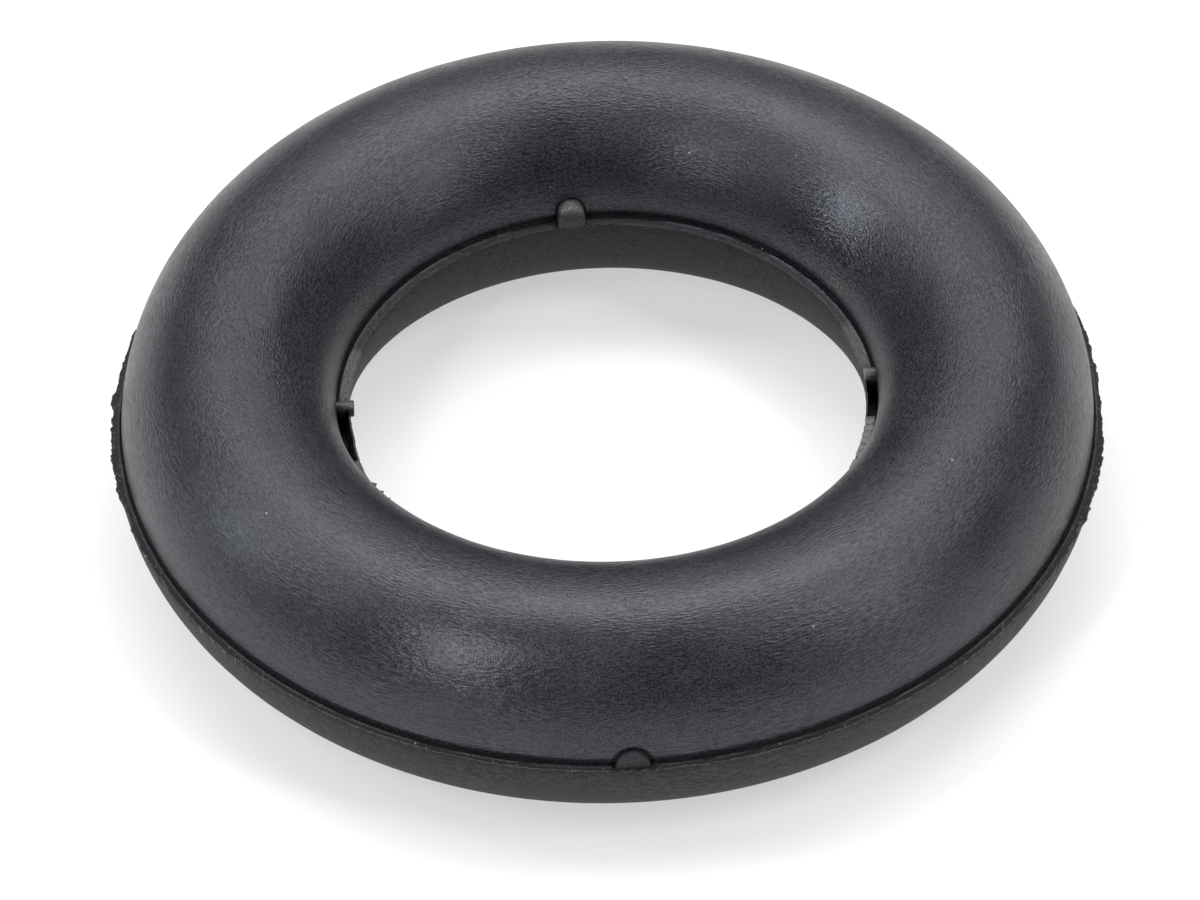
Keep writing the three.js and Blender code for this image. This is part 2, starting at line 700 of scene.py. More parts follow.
@dataclass(frozen=True)
class RingBody:
    """The moulded ring: two half rings joined by the ledges, in millimetres.

    The ring is spun as one sector and its copies. Cuts divide each ledge further round the ring,
    down to fine_reach below it, because its edge is torn later.
    """

    section: Section
    turns: int = 480
    sectors: int = 20
    outer_cuts: int = 3
    inner_cuts: int = 1
    lower_arc_points: int = 17
    upper_arc_points: int = 20
    ledge_row_width: float = 0.1
    edge_round: float = 0.05
    edge_round_segments: int = 2
    loop_within: float = 0.02
    fine_reach: float = 0.9

    def build(self) -> bpy.types.Object:
        """Models the ring without its nubs and wear.

        Returns:
            The ring as one closed mesh, in object mode.
        """
        upper = self.half_ring(Half.UPPER)
        lower = self.half_ring(Half.LOWER)
        work_on(upper)
        lower.select_set(True)
        bpy.ops.object.join()
        ring = bpy.context.object
        ring.name = "rubber_ring"
        ring.data.name = "rubber_ring"
        enter_edit_mode()
        for side in Side:
            self.close_ledge(ring, side)
        merge_points(MERGE_WITHIN)
        bpy.ops.mesh.normals_make_consistent(inside=False)
        for side in Side:
            self.round_edge(ring, side)
            self.refine_ledge(ring, side)
        leave_edit_mode()
        return ring

    def half_ring(self, half: Half) -> bpy.types.Object:
        """Draws half of the section as a half circle, sizes it and spins it round the axis.

        Args:
            half: The upper or the lower half.

        Returns:
            The half ring as an open shell.
        """
        s = self.section
        quarter = self.upper_arc_points if half is Half.UPPER else self.lower_arc_points
        deselect_all()
        bpy.ops.mesh.primitive_circle_add(
            vertices=4 * quarter,
            radius=s.lower_half_width,
            location=(s.middle, 0, 0),
            rotation=(math.pi / 2, 0, 0),
        )
        piece = bpy.context.object
        apply_place()
        enter_edit_mode()
        select_mesh()
        self.keep_beyond(0, half.value)
        self.stretch_half(piece, half)
        self.spin(self.turns // self.sectors, 1, copies=False)
        self.spin(self.sectors - 1, self.sectors - 1, copies=True)
        merge_points(MERGE_WITHIN)
        leave_edit_mode()
        return piece

    def keep_beyond(self, height: float, direction: int) -> None:
        """Cuts what is selected at one height, and keeps what lies above, or below for -1."""
        bpy.ops.mesh.bisect(
            plane_co=(self.section.middle, 0, height),
            plane_no=(0, 0, direction),
            clear_inner=True,
            threshold=CUT_WITHIN,
        )

    def spin(self, steps: int, sectors: int, copies: bool) -> None:
        """Spins the whole mesh round the ring's axis.

        Args:
            steps: In how many steps.
            sectors: Over how many sectors of the ring.
            copies: True for separate copies, False for a surface between the steps.
        """
        select_mesh()
        bpy.ops.mesh.spin(
            steps=steps,
            dupli=copies,
            angle=2 * math.pi * sectors / self.sectors,
            center=(0, 0, 0),
            axis=(0, 0, 1),
            use_auto_merge=False,
        )

    def stretch_half(self, piece: bpy.types.Object, half: Half) -> None:
        """Stretches each side of a half circle to its height, and cuts the groove or rest flat.

        Args:
            piece: The half circle, which is in edit mode.
            half: The upper or the lower half.
        """
        s = self.section
        width = s.lower_half_width
        for side in Side:
            parting = s.parting(side)
            if half is Half.UPPER:
                reach, rise = s.upper_half_width(side), s.height - parting
            else:
                flat_share = s.rest_flat_width / 2 / width
                reach, rise = width, parting / math.sqrt(1.0 - flat_share**2)

            def on_side(place: Vector) -> bool:
                """Tells if a place is on this side. The middle belongs to the outer side."""
                across = (place.x - s.middle) * side.value
                if side is Side.OUTER:
                    return across > -MERGE_WITHIN
                return across > MERGE_WITHIN

            select_points(piece, on_side)
            resize((reach / width, 1, rise / width), about=(s.middle, 0, 0))
            move((0, 0, parting))
            if half is Half.UPPER:
                select_points(piece, on_side)
                self.keep_beyond(parting + s.groove_height, 1)
        if half is Half.LOWER:
            select_points(piece, lambda place: place.z < MERGE_WITHIN)
            resize((1, 1, 0))

    def select_loop(self, ring: bpy.types.Object, radius: float, height: float) -> int:
        """Selects the loop of points at one radius and height.

        Args:
            ring: The object, which is in edit mode.
            radius: The loop's radius.
            height: The loop's height.

        Returns:
            How many points it has.
        """

        def on_loop(place: Vector) -> bool:
            """Tells if a place is on the loop."""
            near = abs(math.hypot(place.x, place.y) - radius) < self.loop_within
            return near and abs(place.z - height) < self.loop_within / 2

        return select_points(ring, on_loop)

    def pull_loop(self, ring: bpy.types.Object, to: Span) -> None:
        """Extrudes the selected loop and brings it to a new radius and height.

        Args:
            ring: The object, which is in edit mode.
            to: The new loop's radius and height.
        """
        edited = bmesh.from_edit_mesh(ring.data)
        place = next(vertex.co for vertex in edited.verts if vertex.select)
        at = (math.hypot(place.x, place.y), place.z)
        grow = to[0] / at[0]
        bpy.ops.mesh.extrude_region_move()
        resize((grow, grow, 1))
        move((0, 0, to[1] - at[1]))

    def ledge_outline(self, side: Side) -> List[Span]:
        """Gives the loops between the upper half's foot and the ledge's edge.

        Args:
            side: The side of the section.

        Returns:
            Each loop's radius and height, from the foot through the groove and over the ridge.
        """
        s = self.section
        parting = s.parting(side)
        upper = s.upper_half_width(side)
        rise = s.height - parting
        foot_across = upper * math.sqrt(1.0 - (s.groove_height / rise) ** 2)
        ridge = upper + s.groove_width
        across_and_up = [
            (foot_across, s.groove_height),
            (upper - 0.35 * s.groove_undercut, 0.72 * s.groove_height),
            (upper - 0.85 * s.groove_undercut, 0.36 * s.groove_height),
            (upper - s.groove_undercut, 0.0),
            (upper - 0.6 * s.groove_undercut, -s.groove_depth),
            (upper + 0.35 * s.groove_width, -0.6 * s.groove_depth),
            (ridge - 0.25 * s.ridge_width, 0.9 * s.ridge_height),
            (ridge + 0.1 * s.ridge_width, s.ridge_height),
            (ridge + s.ridge_width, 0.15 * s.ridge_height),
        ]
        start = ridge + 1.5 * s.ridge_width
        width = s.lower_half_width - start
        rows = max(1, round(width / self.ledge_row_width))
        across_and_up += [(start + width * row / rows, 0.0) for row in range(rows + 1)]
        return [(s.radius(side, across), parting + up) for across, up in across_and_up]

    def close_ledge(self, ring: bpy.types.Object, side: Side) -> None:
        """Pulls the upper half's foot into the groove, over the ridge and out to the ledge's edge.

        Args:
            ring: The object, which is in edit mode.
            side: The side of the section.
        """
        outline = self.ledge_outline(side)
        found = self.select_loop(ring, *outline[0])
        log.info("%s foot loop has %d points", side.name.lower(), found)
        for to in outline[1:]:
            self.pull_loop(ring, to)

    def round_edge(self, ring: bpy.types.Object, side: Side) -> None:
        """Rounds the ledge's sharp edge a little, on one side of the section."""
        s = self.section
        self.select_loop(ring, s.radius(side, s.lower_half_width), s.parting(side))
        bpy.ops.mesh.bevel(
            offset=self.edge_round, segments=self.edge_round_segments, affect="EDGES"
        )

    def refine_ledge(self, ring: bpy.types.Object, side: Side) -> None:
        """Divides the ledge's faces round the ring, so that its edge can be ragged.

        Args:
            ring: The object, which is in edit mode.
            side: The side of the section.
        """
        s = self.section
        start = s.upper_half_width(side) - 1.5 * s.groove_undercut
        cuts = self.outer_cuts if side is Side.OUTER else self.inner_cuts
        bpy.ops.mesh.select_mode(type="EDGE")
        bpy.ops.mesh.select_all(action="DESELECT")
        edited = bmesh.from_edit_mesh(ring.data)
        for edge in edited.edges:
            one, other = edge.verts[0].co, edge.verts[1].co
            radius = math.hypot(one.x, one.y)
            on_ledge = (radius - s.middle) * side.value > start
            near = -0.8 * s.groove_height < s.parting(side) - one.z < self.fine_reach
            level = abs(one.z - other.z) < MERGE_WITHIN
            round_ring = abs(radius - math.hypot(other.x, other.y)) < MERGE_WITHIN
            edge.select = on_ledge and near and level and round_ring
        bmesh.update_edit_mesh(ring.data)
        bpy.ops.mesh.subdivide(number_cuts=cuts, smoothness=0.0)


@dataclass(frozen=True)
class SurfaceMarks:
    """Marks, on the ring's points, where the rubber is trimmed, where a highlight is painted on it, and
    where it is polished.

    Amounts run from 0 to 1, and lengths are in millimetres. A mark on the ledge reaches above_ledge
    over it, and trimmed_below or sheen_below under it.
    """

    section: Section
    edge: TornEdge
    nubs: Sequence[Nub]
    edge_round: float
    above_ledge: float = 0.3
    trimmed_below: float = 0.1
    trimmed_fade: float = 0.06
    trimmed_start_fade: float = 0.05
    inner_trimmed: float = 0.5
    nub_trimmed: float = 0.6
    nub_margin: float = 0.02
    nub_sheen_depth: float = 0.45
    sheen_below: float = 0.25
    crack_shade: float = 6.0
    # Painted highlight along the outer ledge's rounded edge
    edge_line_sheen: float = 0.45
    edge_line_ripple: Ripple = Ripple(0.55, 2.6)
    edge_line_share: float = 0.7
    edge_line_above: float = 0.005
    polish_start: float = 1.5
    polish_fade: float = 2.5

    def trimmed(self, place: Vector) -> float:
        """Gives how far the rubber is a dark cut face.

        Args:
            place: Where on the ring.

        Returns:
            The amount.
        """
        spot = self.section.spot(place)
        start = self.section.ledge_start(spot.side) - self.trimmed_start_fade
        amount = smooth_step((spot.across - start) / self.trimmed_start_fade)
        amount *= smooth_step((self.trimmed_below - spot.drop) / self.trimmed_fade)
        if spot.drop < -self.above_ledge:
            amount = 0.0
        if spot.side is Side.INNER:
            amount *= self.inner_trimmed
        for nub in self.nubs:
            if nub.holds(spot, self.section, self.nub_margin):
                amount = self.nub_trimmed
        return amount

    def on_edge_line(self, place: Vector, spot: Spot) -> bool:
        """Tells if a place is on the middle of the ledge's rounded edge, wherever it was torn to.

        Args:
            place: The place.
            spot: The same place on the section.

        Returns:
            True on the line.
        """
        out = self.edge.offset(spot.side, spot.azimuth)
        out -= self.edge.crack_depth(spot.side, spot.azimuth)
        back = self.section.lower_half_width + out - spot.across
        below = spot.drop + self.edge.lift_at(place)
        reach = self.edge_line_share * self.edge_round
        return abs(back) < reach and -self.edge_line_above < below < reach

    def painted_sheen(self, place: Vector) -> float:
        """Gives how far a painted highlight lightens the rubber: on sheen stretches of the ledge, along
        the outer ledge's edge and on the nub tops.

        Args:
            place: Where on the ring.

        Returns:
            The amount.
        """
        s = self.section
        spot = s.spot(place)
        start = s.upper_half_width(spot.side) + s.groove_width
        amount = 0.0
        # Painted highlight on the sheen stretches of the ledge, taken back at the cracks
        if -self.above_ledge < spot.drop < self.sheen_below and spot.across > start:
            crack = self.edge.crack_depth(spot.side, spot.azimuth)
            amount = Wear.total(self.edge.wear.painted_sheen, spot.side, spot.azimuth)
            amount -= self.crack_shade * crack
        # A painted highlight line along the outer ledge's rounded edge, where its corner catches the
        # light
        if spot.side is Side.OUTER and self.on_edge_line(place, spot):
            ripple = self.edge_line_ripple.at(Vector((place.x, place.y, 0.0)))
            amount = self.edge_line_sheen + ripple
        # A painted highlight on each nub's top
        for nub in self.nubs:
            near_top = spot.drop < self.nub_sheen_depth - nub.height
            if near_top and nub.holds(spot, s, self.nub_margin):
                amount = nub.painted_sheen
        return max(amount, 0.0)

    def polished(self, place: Vector) -> float:
        """Gives how far handling has polished the upper half.

        Args:
            place: Where on the ring.

        Returns:
            The amount.
        """
        spot = self.section.spot(place)
        stretch = Wear.total(self.edge.wear.polished, spot.side, spot.azimuth)
        return smooth_step((spot.across - self.polish_start) / self.polish_fade) * stretch

    def put_on(self, ring: bpy.types.Object) -> None:
        """Keeps the three amounts on each of the ring's points."""
        for name, amount_at in (
            (TRIMMED, self.trimmed),
            (PAINTED_SHEEN, self.painted_sheen),
            (POLISHED, self.polished),
        ):
            marks = ring.data.attributes.new(name, "FLOAT", "POINT")
            for vertex, mark in zip(ring.data.vertices, marks.data):
                mark.value = amount_at(vertex.co)


@dataclass(frozen=True)
class Socket:
    """One numeric input of a shader node group."""

    name: str
    default: float


class NodeSheet:
    """Places and links nodes in one tree, so that a material reads as a list of steps."""

    def __init__(self, tree: bpy.types.NodeTree) -> None:
        """Keeps the tree that the nodes go in."""
        self.tree = tree

    def add(self, kind: str, **settings: object) -> bpy.types.Node:
        """Adds a node and sets its plain properties.

        Args:
            kind: The node's type name.
            settings: Its properties by name.

        Returns:
            The node.
        """
        node = self.tree.nodes.new(kind)
        for name, value in settings.items():
            setattr(node, name, value)
        return node

    def link(self, source: object, target: bpy.types.NodeSocket) -> None:
        """Links an output to an input, or sets the input where the source is a plain value.

        Args:
            source: A socket or a value.
            target: The input.
        """
        if isinstance(source, bpy.types.NodeSocket):
            self.tree.links.new(source, target)
        else:
            target.default_value = source

    def math(self, operation: str, *inputs: object) -> bpy.types.NodeSocket:
        """Adds a Math node.

        Args:
            operation: What it does.
            inputs: Its inputs, each a socket or a value.

        Returns:
            Its output.
        """
        node = self.add("ShaderNodeMath", operation=operation)
        for source, target in zip(inputs, node.inputs):
            self.link(source, target)
        return node.outputs[0]

    def noise(
        self, vector: object, w: object = 0.0, scale: object = 1.0, detail: float = 0.0
    ) -> bpy.types.NodeSocket:
        """Adds a noise of four dimensions.

        Args:
            vector: The place.
            w: The fourth coordinate, which also sets one noise off from another.
            scale: How fine it is.
            detail: How many finer layers it has.

        Returns:
            Its value, about 0.5 on average.
        """
        node = self.add("ShaderNodeTexNoise", noise_dimensions="4D")
        self.link(vector, node.inputs["Vector"])
        self.link(w, node.inputs["W"])
        self.link(scale, node.inputs["Scale"])
        node.inputs["Detail"].default_value = detail
        return node.outputs["Fac"]

    def remap(
        self, value: object, low: object, high: object, to_low: object = 0.0, to_high: object = 1.0
    ) -> bpy.types.NodeSocket:
        """Adds a Map Range node with a smooth step.

        Args:
            value: What is mapped.
            low: The value that gives to_low.
            high: The value that gives to_high.
            to_low: The result at low and before it.
            to_high: The result at high and past it.

        Returns:
            Its result.
        """
        node = self.add("ShaderNodeMapRange", interpolation_type="SMOOTHSTEP")
        self.link(value, node.inputs["Value"])
        self.link(low, node.inputs["From Min"])
        self.link(high, node.inputs["From Max"])
        self.link(to_low, node.inputs["To Min"])
        self.link(to_high, node.inputs["To Max"])
        return node.outputs["Result"]

    def mix(
        self, factor: object, one: object, other: object, data_type: str = "RGBA"
    ) -> bpy.types.NodeSocket:
        """Adds a Mix node.

        Args:
            factor: How far it goes from one to the other.
            one: The result at 0.
            other: The result at 1.
            data_type: RGBA for colours and FLOAT for numbers.

        Returns:
            Its result.
        """
        node = self.add("ShaderNodeMix", data_type=data_type)
        self.link(factor, node.inputs["Factor"])
        self.link(one, node.inputs["A"])
        self.link(other, node.inputs["B"])
        return node.outputs["Result"]

    def mark(self, name: str) -> bpy.types.NodeSocket:
        """Gives one of the amounts that are kept on the ring's points."""
        return self.add("ShaderNodeAttribute", attribute_name=name).outputs["Fac"]

    def place(self) -> bpy.types.NodeSocket:
        """Gives a point's place on the object."""
        return self.add("ShaderNodeTexCoord").outputs["Object"]

    def parts(self, place: bpy.types.NodeSocket) -> Tuple[bpy.types.NodeSocket, ...]:
        """Splits a place.

        Args:
            place: The place.

        Returns:
            Its x, y and z, and the square of its distance from the ring's axis.
        """
        split = self.add("ShaderNodeSeparateXYZ")
        self.link(place, split.inputs[0])
        x, y, z = split.outputs
        return x, y, z, self.math("ADD", self.math("MULTIPLY", x, x), self.math("MULTIPLY", y, y))


class Effects:
    """Shader node groups that the ring's materials share."""

    TOOLING = "tooling_lines"
    GRAIN = "rubber_grain"
    SPECKS = "pale_specks"

    NOISE_MIDDLE = 0.5
    PATCH_SCALE = 210.0
    PATCH_SPAN: Span = (0.35, 0.68)
    PATCH_SEED = 5.5
    GRAIN_SEED = 1.7
    MOTTLE_SEED = 3.1
    FINE_MOTTLE_SEED = 6.6

    @staticmethod
    def new_group(
        name: str, inputs: Sequence[Socket], outputs: Sequence[str]
    ) -> Tuple[NodeSheet, bpy.types.Node, bpy.types.Node]:
        """Starts a shader node group with named sockets.

        Args:
            name: The group's name.
            inputs: Its inputs in order.
            outputs: The names of its outputs in order.

        Returns:
            The sheet to add nodes to, and the group's input and output nodes.
        """
        tree = bpy.data.node_groups.new(name, "ShaderNodeTree")
        kind = "NodeSocketFloat"
        for socket in inputs:
            made = tree.interface.new_socket(name=socket.name, in_out="INPUT", socket_type=kind)
            made.default_value = socket.default
        for output in outputs:
            tree.interface.new_socket(name=output, in_out="OUTPUT", socket_type=kind)
        sheet = NodeSheet(tree)
        return sheet, sheet.add("NodeGroupInput"), sheet.add("NodeGroupOutput")

    @classmethod
    def tooling_lines(cls) -> None:
        """Makes the fine broken lines that run round the ring, left by the turned mould.

        The pattern turns quickly along the radius and the height and slowly round the ring, and it
        closes on itself because it takes the direction from the axis and not the angle.
        """
        sheet, given, result = cls.new_group(
            cls.TOOLING,
            (
                Socket("Lines per metre", 10000.0),
                Socket("Breaks", 60.0),
                Socket("Patchiness", 0.6),
            ),
            ("Height",),
        )
        density = given.outputs["Lines per metre"]
        place = sheet.place()
        x, y, z, squares = sheet.parts(place)
        radius = sheet.math("SQRT", squares)
        joined = sheet.add("ShaderNodeCombineXYZ")
        for axis, target in ((x, joined.inputs[0]), (y, joined.inputs[1])):
            direction = sheet.math("DIVIDE", axis, radius)
            sheet.link(sheet.math("MULTIPLY", direction, given.outputs["Breaks"]), target)
        sheet.link(sheet.math("MULTIPLY", radius, density), joined.inputs[2])
        height = sheet.math("MULTIPLY", z, density)
        lines = sheet.noise(joined.outputs[0], height)
        patches = sheet.noise(place, cls.PATCH_SEED, cls.PATCH_SCALE, 1.0)
        patches = sheet.remap(patches, *cls.PATCH_SPAN)
        weaker = sheet.math("MULTIPLY", patches, given.outputs["Patchiness"])
        strength = sheet.math("SUBTRACT", 1.0, weaker)
        lines = sheet.math("SUBTRACT", lines, cls.NOISE_MIDDLE)
        sheet.link(sheet.math("MULTIPLY", lines, strength), result.inputs["Height"])

    @classmethod
    def grain(cls) -> None:
        """Makes the grain of worn rubber: a height, and a broad and a fine mottle for its colour."""
        sheet, given, result = cls.new_group(
            cls.GRAIN,
            (Socket("Scale", 9500.0), Socket("Mottle scale", 240.0)),
            ("Height", "Mottle", "Fine mottle"),
        )
        place = sheet.place()
        scale, mottle_scale = given.outputs["Scale"], given.outputs["Mottle scale"]
        height = sheet.noise(place, cls.GRAIN_SEED, scale, 1.0)
        height = sheet.math("SUBTRACT", height, cls.NOISE_MIDDLE)
        mottle = sheet.noise(place, cls.MOTTLE_SEED, mottle_scale, 2.0)
        fine_mottle = sheet.noise(place, cls.FINE_MOTTLE_SEED, scale)
        sheet.link(height, result.inputs["Height"])
        sheet.link(mottle, result.inputs["Mottle"])
        sheet.link(fine_mottle, result.inputs["Fine mottle"])

    @classmethod
    def specks(cls) -> None:
        """Makes a mask of small sparse specks, of dust or of torn rubber."""
        sheet, given, result = cls.new_group(
            cls.SPECKS,
            (Socket("Scale", 900.0), Socket("Amount", 0.02), Socket("Size", 0.08)),
            ("Mask",),
        )
        size = given.outputs["Size"]
        cells = sheet.add("ShaderNodeTexVoronoi", feature="F1")
        sheet.link(sheet.place(), cells.inputs["Vector"])
        sheet.link(given.outputs["Scale"], cells.inputs["Scale"])
        near = sheet.remap(cells.outputs["Distance"], size, sheet.math("MULTIPLY", size, 0.5))
        chance = sheet.add("ShaderNodeSeparateColor")
        sheet.link(cells.outputs["Color"], chance.inputs[0])
        chosen = sheet.math("LESS_THAN", chance.outputs[0], given.outputs["Amount"])
        sheet.link(sheet.math("MULTIPLY", near, chosen), result.inputs["Mask"])


@dataclass(frozen=True)
class RubberFinish:
    """Moulded rubber: its colours, how rough it is, its texture's height in millimetres, and dust.

    The trimmed values are for the flash and the nubs, where the rubber was cut or torn. Crumbs are
    the specks on those cut faces. Spans are the noise values over which an effect comes in.
    """

    name: str
    colour: Colour
    mottle_colour: Colour
    lower_colour: Colour
    # The lower colour in the hole is painted shade, much darker than the rubber
    inner_lower_shade_colour: Colour
    speck_colour: Colour
    trimmed_colour: Colour
    # The pale colour is a painted highlight
    crumb_colour: Colour
    painted_sheen_colour: Colour
    roughness: float
    roughness_spread: float
    polished_roughness: float
    lower_roughness: float
    trimmed_roughness: float
    painted_sheen_roughness: float
    line_height: float
    lower_line_height: float
    grain_height: float
    trimmed_height: float
    speck_amount: float
    crumb_amount: float
    crumb_scale: float
    crumb_size: float
    tone_spread: float
    line_tone: float
    line_gloss: float
    reflection_tint: Colour
    refraction: float = 1.5
    mottle_span: Span = (0.35, 0.65)
    tone_span: Span = (0.25, 0.75)
    gloss_span: Span = (0.3, 0.7)
    sheen_span: Span = (0.15, 0.55)
    parting_span: Span = (-0.05, 0.1)

    def material(self, section: Section) -> bpy.types.Material:
        """Builds the material from the shared effects.

        Args:
            section: The ring's section, which tells the lower half from the upper one.

        Returns:
            The material.
        """
        made = bpy.data.materials.new(self.name)
        made.use_nodes = True
        made.node_tree.nodes.clear()
        sheet = NodeSheet(made.node_tree)
        output = sheet.add("ShaderNodeOutputMaterial")
        surface = sheet.add("ShaderNodeBsdfPrincipled")
        sheet.link(surface.outputs["BSDF"], output.inputs["Surface"])
        surface.inputs["IOR"].default_value = self.refraction
        surface.inputs["Specular Tint"].default_value = (*self.reflection_tint, 1.0)
        lines = self.placed(sheet, Effects.TOOLING).outputs["Height"]
        grain = self.placed(sheet, Effects.GRAIN)
        trimmed = sheet.mark(TRIMMED)
        lower, outer = self.lower_half(sheet, section)
        body = self.body_colour(sheet, grain, lines, lower, outer)
        sheet.link(self.colouring(sheet, grain, body, trimmed), surface.inputs["Base Color"])
        gloss = self.gloss(sheet, grain, trimmed, lower)
        streaks = sheet.math("MULTIPLY", lines, self.line_gloss)
        sheet.link(sheet.math("SUBTRACT", gloss, streaks), surface.inputs["Roughness"])
        bump = sheet.add("ShaderNodeBump")
        bump.inputs["Distance"].default_value = MM
        bump.inputs["Strength"].default_value = 1.0
        sheet.link(self.relief(sheet, grain, lines, trimmed, lower), bump.inputs["Height"])
        sheet.link(bump.outputs["Normal"], surface.inputs["Normal"])
        return made

    def lower_half(
        self, sheet: NodeSheet, section: Section
    ) -> Tuple[bpy.types.NodeSocket, bpy.types.NodeSocket]:
        """Makes the masks of the lower half and of the outer side.

        Args:
            sheet: The material's sheet.
            section: The ring's section.

        Returns:
            1 on the lower half and 0 on the upper one, and 1 on the outer side and 0 in the hole.
        """
        _, _, z, squares = sheet.parts(sheet.place())
        outer = sheet.math("GREATER_THAN", squares, (section.middle * MM) ** 2)
        step = (section.inner_parting - section.outer_parting) * MM
        parting = sheet.math(
            "SUBTRACT", section.inner_parting * MM, sheet.math("MULTIPLY", outer, step)
        )
        start, end = self.parting_span
        lower = sheet.remap(sheet.math("SUBTRACT", parting, z), start * MM, end * MM)
        return lower, outer

    def body_colour(
        self,
        sheet: NodeSheet,
        grain: bpy.types.Node,
        lines: bpy.types.NodeSocket,
        lower: bpy.types.NodeSocket,
        outer: bpy.types.NodeSocket,
    ) -> bpy.types.NodeSocket:
        """Mixes the moulded skin's colour: mottled above, browner below, much darker below in the hole
        as painted shade, uneven all over.

        Args:
            sheet: The material's sheet.
            grain: The placed grain.
            lines: The tooling lines' height.
            lower: The mask of the lower half.
            outer: The mask of the outer side.

        Returns:
            The colour.
        """
        mottle = sheet.remap(grain.outputs["Mottle"], *self.mottle_span)
        mottled = sheet.mix(mottle, (*self.colour, 1.0), (*self.mottle_colour, 1.0))
        # Painted shade: the lower half inside the hole takes a much darker colour
        below = sheet.mix(outer, (*self.inner_lower_shade_colour, 1.0), (*self.lower_colour, 1.0))
        body = sheet.mix(lower, mottled, below)
        streaks = sheet.math("MULTIPLY", lines, self.line_tone)
        texture = sheet.math("ADD", grain.outputs["Fine mottle"], streaks)
        darkest, palest = 1.0 - self.tone_spread, 1.0 + self.tone_spread
        shaded = sheet.add("ShaderNodeVectorMath", operation="SCALE")
        sheet.link(body, shaded.inputs[0])
        sheet.link(
            sheet.remap(texture, *self.tone_span, darkest, palest), shaded.inputs["Scale"]
        )
        return shaded.outputs[0]

    def colouring(
        self,
        sheet: NodeSheet,
        grain: bpy.types.Node,
        body: bpy.types.NodeSocket,
        trimmed: bpy.types.NodeSocket,
    ) -> bpy.types.NodeSocket:
        """Lays the cut faces, the dust, the crumbs and the painted highlight over the skin's colour.

        Args:
            sheet: The material's sheet.
            grain: The placed grain.
            body: The skin's colour.
            trimmed: How far the rubber is trimmed.

        Returns:
            The colour.
        """
        cut = sheet.mix(trimmed, body, (*self.trimmed_colour, 1.0))
        dust = self.placed(sheet, Effects.SPECKS)
        dust.inputs["Amount"].default_value = self.speck_amount
        dusty = sheet.mix(dust.outputs["Mask"], cut, (*self.speck_colour, 1.0))
        crumbs = self.placed(sheet, Effects.SPECKS)
        crumbs.inputs["Scale"].default_value = self.crumb_scale
        crumbs.inputs["Size"].default_value = self.crumb_size
        crumbs.inputs["Amount"].default_value = self.crumb_amount
        on_cut = sheet.math("MULTIPLY", crumbs.outputs["Mask"], trimmed)
        speckled = sheet.mix(on_cut, dusty, (*self.crumb_colour, 1.0))
        # Painted highlight: the sheen mark, broken up by the fine mottle, lays the pale colour over the
        # rubber
        uneven = sheet.remap(grain.outputs["Fine mottle"], *self.sheen_span)
        sheen_amount = sheet.math("MULTIPLY", sheet.mark(PAINTED_SHEEN), uneven)
        return sheet.mix(sheen_amount, speckled, (*self.painted_sheen_colour, 1.0))

    def gloss(
        self,
        sheet: NodeSheet,
        grain: bpy.types.Node,
        trimmed: bpy.types.NodeSocket,
        lower: bpy.types.NodeSocket,
    ) -> bpy.types.NodeSocket:
        """Gives the roughness: uneven on the skin, duller below and where it was trimmed.

        Args:
            sheet: The material's sheet.
            grain: The placed grain.
            trimmed: How far the rubber is trimmed.
            lower: The mask of the lower half.

        Returns:
            The roughness.
        """
        smoothest = self.roughness - self.roughness_spread
        roughest = self.roughness + self.roughness_spread
        gloss = sheet.remap(grain.outputs["Mottle"], *self.gloss_span, smoothest, roughest)
        for amount, roughness in (
            (sheet.mark(POLISHED), self.polished_roughness),
            (lower, self.lower_roughness),
            (trimmed, self.trimmed_roughness),
            (sheet.mark(PAINTED_SHEEN), self.painted_sheen_roughness),
        ):
            gloss = sheet.mix(amount, gloss, roughness, "FLOAT")
        return gloss

    def relief(
        self,
        sheet: NodeSheet,
        grain: bpy.types.Node,
        lines: bpy.types.NodeSocket,
        trimmed: bpy.types.NodeSocket,
        lower: bpy.types.NodeSocket,
    ) -> bpy.types.NodeSocket:
        """Adds up the heights of the tooling lines, the grain and the torn places.

        Args:
            sheet: The material's sheet.
            grain: The placed grain.
            lines: The tooling lines' height.
            trimmed: How far the rubber is trimmed.
            lower: The mask of the lower half.

        Returns:
            The height in millimetres.
        """
        line_height = sheet.remap(lower, 0.0, 1.0, self.line_height, self.lower_line_height)
        skin = sheet.math(
            "ADD",
            sheet.math("MULTIPLY", lines, line_height),
            sheet.math("MULTIPLY", grain.outputs["Height"], self.grain_height),
        )
        rough = sheet.math("MULTIPLY", grain.outputs["Fine mottle"], self.trimmed_height)
        return sheet.math("ADD", skin, sheet.math("MULTIPLY", rough, trimmed))

    @staticmethod
    def placed(sheet: NodeSheet, group: str) -> bpy.types.Node:
        """Places a shared effect in the material."""
        return sheet.add("ShaderNodeGroup", node_tree=bpy.data.node_groups[group])


@dataclass(frozen=True)
class SoftBox:
    """A soft box aimed at the ring, in metres and degrees. Power is in watts."""

    name: str
    azimuth: float
    elevation: float
    width: float
    height: float
    power: float
    tint: Colour = (1.0, 1.0, 1.0)
    distance: float = 1.6

    def place(self) -> None:
        """Hangs the light and turns it to the ring."""
        lamp = bpy.data.lights.new(self.name, "AREA")
        lamp.shape = "RECTANGLE"
        lamp.size = self.width
        lamp.size_y = self.height
        lamp.energy = self.power
        lamp.color = self.tint
        light = bpy.data.objects.new(self.name, lamp)
        bpy.context.scene.collection.objects.link(light)
        around, above = math.radians(self.azimuth), math.radians(self.elevation)
        level = math.cos(above)
        towards = Vector((math.cos(around) * level, math.sin(around) * level, math.sin(above)))
        light.location = towards * self.distance
        light.rotation_euler = towards.to_track_quat("Z", "Y").to_euler()
        light.visible_camera = False


